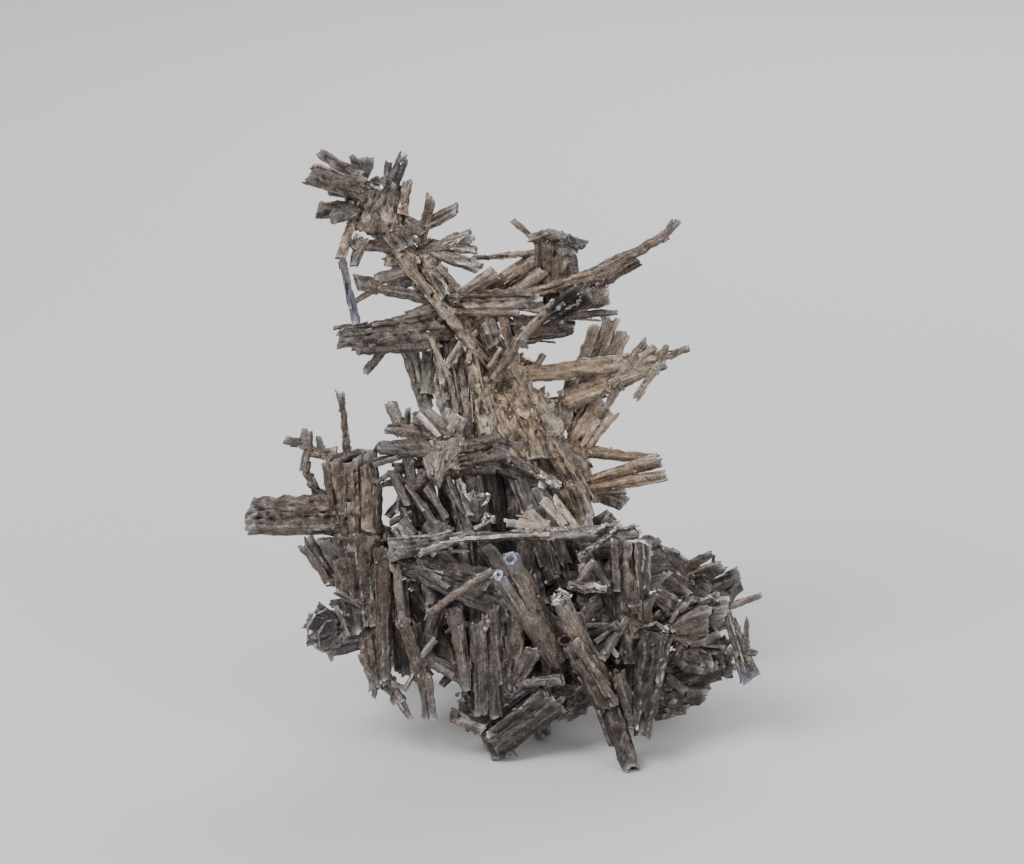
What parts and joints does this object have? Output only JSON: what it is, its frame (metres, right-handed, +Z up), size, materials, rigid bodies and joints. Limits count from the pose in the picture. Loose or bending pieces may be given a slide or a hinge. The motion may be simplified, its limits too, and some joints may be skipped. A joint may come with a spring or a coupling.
{
  "type": "native silver specimen",
  "caption": "Branching native silver mineral specimen: a tangle of flat tarnished metal blades with a leaning trunk, side limbs and a crown.",
  "frame": {"origin": "on the floor, under the middle of the standing specimen's box", "axes": "+Z up as the specimen rests on its own lowest blades, +X to the viewer's right, +Y away from the viewer of its show face"},
  "size_m": [0.0929, 0.0626, 0.1004],
  "materials": {
    "trunk_silver": "tarnished native silver, warm grey-brown",
    "tangle_silver": "tarnished native silver, dark grey-brown",
    "limb_silver": "tarnished native silver, grey-brown with brighter worn ends"
  },
  "bodies": {
    "root": {"base_tangle": "tangle_silver", "trunk": "trunk_silver", "left_column": "tangle_silver", "right_block": "tangle_silver", "back_spray": "tangle_silver", "cross_blade": "limb_silver", "middle_star": "limb_silver", "crown": "limb_silver", "left_arm": "limb_silver", "upper_right_limb": "limb_silver", "right_limb": "limb_silver", "forked_limb": "limb_silver"}
  },
  "joints": []
}
